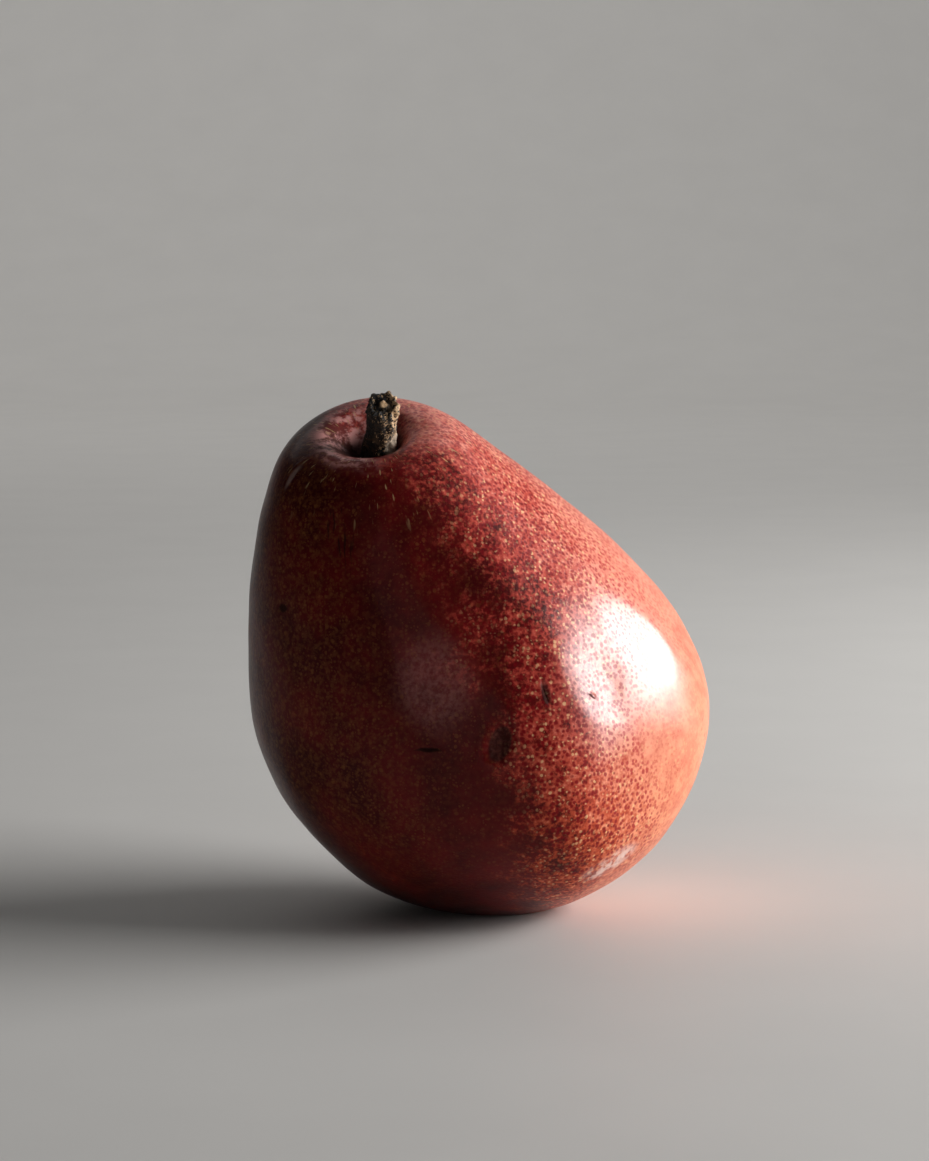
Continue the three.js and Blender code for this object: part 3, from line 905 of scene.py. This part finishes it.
def shaded_red(n, skin, field, frames):
    """Red of the shaded side, darker than the skin's own red as painted shade: a painted sheen, a pale haze
    where the flat place faces the lights, then a tan haze and golden flecks that are strongest along its
    left edge and fade towards the table."""
    # Painted shade: maroon and crimson are darker than the skin's own deep red, to stand for the shade
    # here.
    red = n.mix(n.ramp(field.patches, 0.3, 0.7), skin.maroon, skin.crimson)
    # Painted sheen: a pale pink haze on the flat place, where it faces the lights.
    pale = n.product(rubbed_and_sheen_mask(n, field, frames, "facet"), n.ramp(field.grain, 0.3, 0.7, 0.02, 0.17))
    red = n.mix(pale, red, skin.bloom)
    upwards = n.ramp(field.height, -24 * MM, 6 * MM, 0.35, 1.0)
    tan_share = n.math("MULTIPLY_ADD", field.left_edge, 0.28, 0.07)
    red = n.mix(n.product(n.ramp(field.grain, 0.42, 0.66), tan_share, upwards), red, skin.fleck)
    flecks = scattered_dots(n, field.wobbly, skin.fleck_spacing, -0.05, 0.42)
    fine = scattered_dots(n, field.wobbly, FINE_FLECKS * skin.fleck_spacing, -0.1, 0.42)
    fleck_share = n.math("MULTIPLY_ADD", n.ramp(field.mottle, 0.3, 0.75), 0.32, 0.05)
    fleck_share = n.math("MULTIPLY_ADD", field.left_edge, 0.2, fleck_share)
    return n.mix(n.product(n.math("MAXIMUM", flecks, fine), fleck_share, upwards), red, skin.fleck)


def sunny_ground(n, skin, field, red):
    """Ground of the sunny side: rose or amber where it begins, salmon or orange where it has opened, with
    rose blotches, and cream specks that are fewer around the stem."""
    low = n.ramp(field.height, 20 * MM, -12 * MM)
    begun = n.product(n.ramp(field.uneven, 0.08, 0.46), n.ramp(field.opening, 0.03, 0.2))
    body = n.mix(begun, red, n.mix(low, skin.rose, skin.amber))
    body = n.mix(n.ramp(field.uneven, 0.36, 0.95), body, n.mix(low, skin.salmon, skin.orange))
    blotches = n.ramp(n.noise(field.place, BLOTCH_SPACING, 3.0, 0.6), 0.38, 0.70, 0.0, 0.42)
    body = n.mix(n.product(blotches, n.ramp(field.opening, 0.5, 0.9)), body, skin.rose)
    specks = n.product(
        scattered_dots(n, field.wobbly, skin.speck_spacing, -0.1, 0.48),
        n.ramp(field.opening, 0.05, 0.4),
        n.ramp(field.opening, 0.95, 0.7, 0.4, 1.0),
        n.ramp(field.mottle, 0.35, 0.58, 0.2, 0.95),
        n.ramp(field.from_stem, 9 * MM, 20 * MM, 0.3, 1.0),
    )
    return n.mix(specks, body, skin.cream)


def sunny_dots(n, skin, field):
    """Dots of the sunny side, as a mask that fades where the skin is palest."""
    distance = n.cells(field.wobbly, skin.dot_spacing, 0.8).outputs["Distance"]
    inside = n.math("SUBTRACT", DOT_RADIUS, distance)
    dots = n.math("MULTIPLY_ADD", inside, DOT_SHARPNESS, 0.5, clamp=True)
    smooth = n.product(n.ramp(field.opening, 0.75, 1.0), n.ramp(field.height, 20 * MM, 4 * MM, 0.25, 0.8))
    share = n.math("SUBTRACT", n.ramp(field.opening, 0.05, 0.3, 0.0, 0.9), smooth, clamp=True)
    return n.product(dots, share)


def crown_colours(n, skin, field, body):
    """Around the stem: pale bloom that is thickest on the left, a pink haze towards the sunny side, painted
    shade that darkens the floor of the basin, and corky dashes that point away from the stem."""
    leftwards = n.math("COSINE", n.math("SUBTRACT", field.turn, BLOOM_ANGLE))
    bloom = n.product(
        n.ramp(field.from_stem, 12 * MM, 8 * MM),
        n.ramp(field.mottle, 0.43, 0.58, 0.08, 1.0),
        n.ramp(leftwards, -0.5, 0.7, 0.12, 1.0),
    )
    pink = n.product(
        n.ramp(field.from_stem, 22 * MM, 8 * MM, 0.0, 0.3),
        n.ramp(field.opening, 0.1, 0.5),
        n.ramp(field.mottle, 0.35, 0.62, 0.3, 1.0),
    )
    body = n.mix(n.math("MAXIMUM", bloom, pink), body, skin.bloom)
    # Painted shade: the floor of the basin darkens towards the stem's foot.
    body = n.mix(n.ramp(field.from_stem, 6.5 * MM, 4 * MM, 0.0, 0.85), body, skin.gash_and_shade)
    turned = n.math("MULTIPLY", field.turn, DASHES_PER_RADIAN)
    outwards = n.math("DIVIDE", field.from_stem, DASH_LENGTH)
    rays = n.add("ShaderNodeCombineXYZ", X=turned, Y=outwards).outputs["Vector"]
    dashes = n.product(
        n.ramp(n.noise(rays, 1.0, 1.0), 0.66, 0.74, 0.0, 0.8),
        n.ramp(field.from_stem, 5 * MM, 8 * MM),
        n.ramp(field.from_stem, 21 * MM, 11 * MM),
    )
    return n.mix(dashes, body, skin.russet)


def base_colours(n, skin, field, body):
    """Corky skin around the calyx."""
    cork = n.product(n.ramp(field.from_calyx, 9 * MM, 4 * MM), n.ramp(field.mottle, 0.42, 0.60, 0.1, 0.7))
    return n.mix(cork, body, skin.russet)


def scar_masks(n, field, frames):
    """The scab and the cuts, as two masks."""
    scab = mark_mask(n, field.place, frames, "scab", edge=0.15)
    cuts = 0.0
    for name in ("slit", "nick", "cut", "spot"):
        cut = mark_mask(n, field.wobbly, frames, name, (1.3, 1.1), 0.35)
        cuts = n.math("MAXIMUM", cut, cuts)
    return scab, cuts


def scar_colours(n, skin, field, frames, scab, cuts, body):
    """Healed scab, dry cuts, the dark lines of the bruise, pale streaks that are partly waxy bloom and
    partly painted sheen, and the pale crease.
    """
    crust = n.mix(n.ramp(field.grain, 0.35, 0.65), skin.gash_and_shade, skin.scab)
    body = n.mix(n.product(scab, 0.8), body, crust)
    body = n.mix(n.product(cuts, 0.9), body, skin.gash_and_shade)
    bruise = mark_mask(n, field.place, frames, "bruise", (1.4, 1.3))
    lines = n.noise(place_in(n, field.place, frames["bruise"], BRUISE_LINE_SPACING), 1.0, 2.0)
    body = n.mix(n.product(bruise, n.ramp(lines, 0.54, 0.66, 0.0, 0.75)), body, skin.gash_and_shade)
    # Partly painted sheen: pale streaks along the lower right edge.
    wax_and_sheen = mark_mask(n, field.place, frames, "wax_and_sheen")
    streaks = n.product(wax_and_sheen, n.ramp(field.mottle, 0.40, 0.56, 0.1, 0.95))
    crease = n.product(mark_mask(n, field.place, frames, "crease"), 0.3)
    return n.mix(n.math("MAXIMUM", streaks, crease), body, skin.wax_and_sheen)


def add_skin_gloss(n, shader, field, frames, dots, dull):
    """Waxy gloss: strongest where the skin is rubbed smooth, less in the dots and none on dull scars."""
    rough = n.math("MULTIPLY_ADD", dots, 0.06, n.ramp(field.mottle, 0.2, 0.8, 0.29, 0.37))
    n.feed(shader.inputs["Roughness"], n.math("MULTIPLY_ADD", dull, 0.35, rough))
    polish = 0.0
    for name, strength in RUBBED_GLOSS.items():
        rubbed = n.product(rubbed_and_sheen_mask(n, field, frames, name), strength)
        polish = n.math("MAXIMUM", rubbed, polish)
    polish = n.math("ADD", polish, SKIN_GLOSS)
    bare = n.math("MAXIMUM", dull, n.product(dots, 0.4))
    n.feed(shader.inputs["Coat Weight"], n.product(polish, n.math("SUBTRACT", 1.0, bare)))
    shader.inputs["Coat Roughness"].default_value = 0.28
    shader.inputs["Coat IOR"].default_value = 1.65
    shader.inputs["Specular IOR Level"].default_value = 0.15
    shader.inputs["Specular Tint"].default_value = (1.0, 0.60, 0.55, 1.0)


def add_bump(n, shader, height, strength, distance):
    """Joins a fine relief to a shader."""
    bump = n.add("ShaderNodeBump", Height=height, Strength=strength, Distance=distance)
    n.feed(shader.inputs["Normal"], bump.outputs["Normal"])


def skin_material(scene, frames):
    """Waxy pear skin: dark dots and cream specks on a pale ground on the sunny side, closing up to deep
    red with golden flecks on the other side, with bloom and corky dashes around the stem and scars."""
    skin = scene.pear_skin
    material, n, shader = new_material("pear_skin")
    field = skin_fields(n, scene)
    dots = sunny_dots(n, skin, field)
    scab, cuts = scar_masks(n, field, frames)
    body = shaded_red(n, skin, field, frames)
    body = sunny_ground(n, skin, field, body)
    body = n.mix(dots, body, n.mix(n.ramp(field.opening, 0.40, 1.0), skin.dot, skin.faint_dot))
    body = crown_colours(n, skin, field, body)
    body = base_colours(n, skin, field, body)
    body = scar_colours(n, skin, field, frames, scab, cuts, body)
    n.feed(shader.inputs["Base Color"], body)
    add_skin_gloss(n, shader, field, frames, dots, n.math("MAXIMUM", scab, cuts))
    relief = n.math("ADD", n.product(dots, -0.35), n.noise(field.place, PORE_SPACING, 2.0))
    add_bump(n, shader, relief, 0.4, 0.1 * MM)
    return material


def dry_wear():
    """Shader group for dry plant matter: its grain, and how rough that leaves it."""
    made = bpy.data.node_groups.get("dry_wear")
    if made:
        return made
    made = bpy.data.node_groups.new("dry_wear", "ShaderNodeTree")
    made.interface.new_socket("Vector", in_out="INPUT", socket_type="NodeSocketVector")
    for name in ("Scale", "Smoothest", "Roughest"):
        made.interface.new_socket(name, in_out="INPUT", socket_type="NodeSocketFloat")
    for name in ("Grain", "Roughness"):
        made.interface.new_socket(name, in_out="OUTPUT", socket_type="NodeSocketFloat")
    n = Nodes(made)
    given = n.add("NodeGroupInput").outputs
    grain = n.add(
        "ShaderNodeTexNoise", Vector=given["Vector"], Scale=given["Scale"], Detail=4.0, Roughness=0.68,
        Distortion=0.7,
    ).outputs["Fac"]
    rough = n.ramp(grain, 0.3, 0.7, given["Smoothest"], given["Roughest"])
    n.add("NodeGroupOutput", Grain=grain, Roughness=rough)
    return made


def add_wear(n, place, spacing, smoothest, roughest):
    """Places the dry wear in a material and gives its grain and its roughness."""
    wear = n.add(
        "ShaderNodeGroup", {"node_tree": dry_wear()}, Vector=place, Scale=1 / spacing, Smoothest=smoothest,
        Roughest=roughest,
    )
    return wear.outputs["Grain"], wear.outputs["Roughness"]


def bark_material(scene):
    """Weathered bark: nearly black, with brown in between, pale tan flecks where it peels, more of them on
    the right side as painted light, a paler swelling at the foot and a tan nub in the broken end."""
    stem = scene.pear_stem
    material, n, shader = new_material("pear_bark")
    place = n.add("ShaderNodeTexCoord").outputs["Object"]
    own = place_in(n, place, stem_seat(scene.pear_fruit, stem))
    parts = n.add("ShaderNodeSeparateXYZ", Vector=own).outputs
    patches = n.noise(place, 2.0 * MM, 4.0, 0.65)
    flecks, rough = add_wear(n, place, 0.7 * MM, 0.6, 0.95)
    # Painted light: more tan flecks on the right side of the stem, the side the lights reach.
    lit = n.ramp(parts["X"], -2.5 * MM, 2.5 * MM, -0.10, 0.06)
    tip = n.ramp(parts["Z"], 9 * MM, 12.5 * MM, 0.0, 0.05)
    peel_and_lit_side = n.math("ADD", flecks, n.math("ADD", lit, tip))
    body = n.mix(n.ramp(patches, 0.50, 0.68), stem.dark, stem.brown)
    body = n.mix(n.ramp(peel_and_lit_side, 0.55, 0.60), body, stem.tan)
    swelling = n.vector("DISTANCE", own, FOOT_SWELLING)
    swelling = n.math("ADD", n.ramp(swelling, 3.4 * MM, 1.8 * MM), centred(n, flecks, 0.9), clamp=True)
    body = n.mix(n.math("MULTIPLY", swelling, n.ramp(parts["X"], 0.4 * MM, 1.6 * MM)), body, stem.pale)
    end = bend_stem(stem, Vector((0, 0, stem.height)))
    from_end = n.vector("DISTANCE", own, end)
    body = n.mix(n.ramp(from_end, 1.7 * MM, 1.35 * MM, 0.0, 0.85), body, stem.dark)
    body = n.mix(n.ramp(from_end, 0.75 * MM, 0.45 * MM), body, stem.tan)
    n.feed(shader.inputs["Base Color"], body)
    n.feed(shader.inputs["Roughness"], rough)
    add_bump(n, shader, flecks, 0.8, 0.2 * MM)
    return material


def sepal_material(scene):
    """Dried sepal: dark brown and matt, paler on its worn parts."""
    calyx = scene.pear_calyx
    material, n, shader = new_material("pear_sepal")
    place = n.add("ShaderNodeTexCoord").outputs["Object"]
    worn, rough = add_wear(n, place, 1.3 * MM, 0.7, 0.95)
    n.feed(shader.inputs["Base Color"], n.mix(n.ramp(worn, 0.45, 0.7), calyx.dark, calyx.pale))
    n.feed(shader.inputs["Roughness"], rough)
    add_bump(n, shader, worn, 0.5, 0.15 * MM)
    return material


def floor_material(stage):
    """Plain pale floor, a little uneven in its shade."""
    material, n, shader = new_material("studio_floor")
    place = n.add("ShaderNodeTexCoord").outputs["Object"]
    grain = n.noise(place, FLOOR_GRAIN)
    darker = [FLOOR_SHADE * part for part in stage.floor_colour]
    n.feed(shader.inputs["Base Color"], n.mix(grain, stage.floor_colour, darker))
    shader.inputs["Roughness"].default_value = 0.6
    return material


# Stage

def add_light(name, watts, light, target):
    """A soft rectangular light that faces a target and isn't seen by the camera."""
    level = math.cos(light.elevation)
    towards = Vector((
        math.cos(light.azimuth) * level,
        math.sin(light.azimuth) * level,
        math.sin(light.elevation),
    ))
    data = bpy.data.lights.new(name, "AREA")
    data.energy = watts
    data.shape = "RECTANGLE"
    data.size, data.size_y = light.size
    lamp = bpy.data.objects.new(name, data)
    turn = towards.to_track_quat("Z", "Y").to_matrix().to_4x4()
    lamp.matrix_world = Matrix.Translation(target + light.distance * towards) @ turn
    lamp.visible_camera = False
    bpy.context.scene.collection.objects.link(lamp)


def make_floor(scene):
    """A floor that sweeps up into a backdrop far behind the fruit."""
    bm = bmesh.new()
    profile = [(FLOOR_NEAR, 0.0), (FLOOR_BEND, 0.0)]
    for step in range(1, SWEEP_STEPS + 1):
        turn = 0.5 * math.pi * step / SWEEP_STEPS
        back = FLOOR_BEND + SWEEP_RADIUS * math.sin(turn)
        profile.append((back, SWEEP_RADIUS * (1 - math.cos(turn))))
    profile.append((FLOOR_BEND + SWEEP_RADIUS, BACKDROP_TOP))
    verts = [bm.verts.new((-FLOOR_HALF_WIDTH, back, height)) for back, height in profile]
    edges = [bm.edges.new(pair) for pair in zip(verts, verts[1:])]
    made = bmesh.ops.extrude_edge_only(bm, edges=edges)["geom"]
    across = [vert for vert in made if isinstance(vert, bmesh.types.BMVert)]
    bmesh.ops.translate(bm, vec=(2 * FLOOR_HALF_WIDTH, 0, 0), verts=across)
    bmesh.ops.recalc_face_normals(bm, faces=bm.faces)
    mesh = bpy.data.meshes.new("studio_floor")
    bm.to_mesh(mesh)
    bm.free()
    mesh.shade_smooth()
    mesh.materials.append(floor_material(scene.pear_stage))
    floor = bpy.data.objects.new("studio_floor", mesh)
    scene.collection.objects.link(floor)


def make_lights(scene):
    """Three soft lights on the fruit, one on the backdrop and a little even light from all around."""
    stage = scene.pear_stage
    belly = fruit_place(scene.pear_fruit).translation
    for name, light in FRUIT_LIGHTS.items():
        add_light(name, getattr(stage, f"{name}_watts"), light, belly)
    add_light("wall", stage.wall_watts, WALL_LIGHT, Vector(BACKDROP_SPOT))
    world = bpy.data.worlds.new("studio")
    world.use_nodes = True
    background = world.node_tree.nodes["Background"]
    background.inputs["Color"].default_value = (*stage.room_colour, 1.0)
    background.inputs["Strength"].default_value = stage.room_light
    scene.world = world


def make_camera(scene):
    """The camera at the photograph's angle."""
    stage = scene.pear_stage
    data = bpy.data.cameras.new("photo_camera")
    data.sensor_fit = "VERTICAL"
    data.sensor_height = SENSOR_HEIGHT
    data.lens = stage.lens
    data.clip_start = CAMERA_NEAR
    camera = bpy.data.objects.new("photo_camera", data)
    camera.matrix_world = camera_matrix(stage, scene.pear_fruit)
    scene.collection.objects.link(camera)
    scene.camera = camera


def make_stage(scene):
    """Floor, lights and camera, shown with plain colours."""
    make_floor(scene)
    make_lights(scene)
    make_camera(scene)
    scene.view_settings.view_transform = "Standard"


# Operators, panel and registration

class PEAR_OT_stage(bpy.types.Operator):
    """Adds the floor, the lights and the camera"""
    bl_idname = "pear.stage"
    bl_label = "Stage"

    def execute(self, context):
        make_stage(context.scene)
        return {"FINISHED"}


class PEAR_OT_fruit(bpy.types.Operator):
    """Adds the fruit with its skin"""
    bl_idname = "pear.fruit"
    bl_label = "Fruit"

    def execute(self, context):
        make_fruit(context.scene)
        return {"FINISHED"}


class PEAR_OT_stem(bpy.types.Operator):
    """Adds the woody stem"""
    bl_idname = "pear.stem"
    bl_label = "Stem"

    def execute(self, context):
        make_stem(context.scene)
        return {"FINISHED"}


class PEAR_OT_calyx(bpy.types.Operator):
    """Adds the dried calyx"""
    bl_idname = "pear.calyx"
    bl_label = "Calyx"

    def execute(self, context):
        make_calyx(context.scene)
        return {"FINISHED"}


GROUPS = {
    "pear_fruit": PearFruit,
    "pear_skin": PearSkin,
    "pear_stem": PearStem,
    "pear_calyx": PearCalyx,
    "pear_stage": PearStage,
}
OPERATORS = (PEAR_OT_stage, PEAR_OT_fruit, PEAR_OT_stem, PEAR_OT_calyx)


class PEAR_PT_panel(bpy.types.Panel):
    """Sizes and colours of the pear, and its pieces"""
    bl_idname = "PEAR_PT_panel"
    bl_label = "Pear"
    bl_space_type = "VIEW_3D"
    bl_region_type = "UI"
    bl_category = "Pear"

    def draw(self, context):
        for name, group in GROUPS.items():
            box = self.layout.box()
            for setting in group.__annotations__:
                box.prop(getattr(context.scene, name), setting)
        for operator in OPERATORS:
            self.layout.operator(operator.bl_idname)


CLASSES = (*GROUPS.values(), *OPERATORS, PEAR_PT_panel)


def register():
    for made in CLASSES:
        bpy.utils.register_class(made)
    for name, group in GROUPS.items():
        setattr(bpy.types.Scene, name, PointerProperty(type=group))


def unregister():
    for name in GROUPS:
        delattr(bpy.types.Scene, name)
    for made in reversed(CLASSES):
        bpy.utils.unregister_class(made)


def main():
    register()
    bpy.ops.pear.stage()
    bpy.ops.pear.fruit()
    bpy.ops.pear.stem()
    bpy.ops.pear.calyx()


if __name__ == "__main__":
    main()
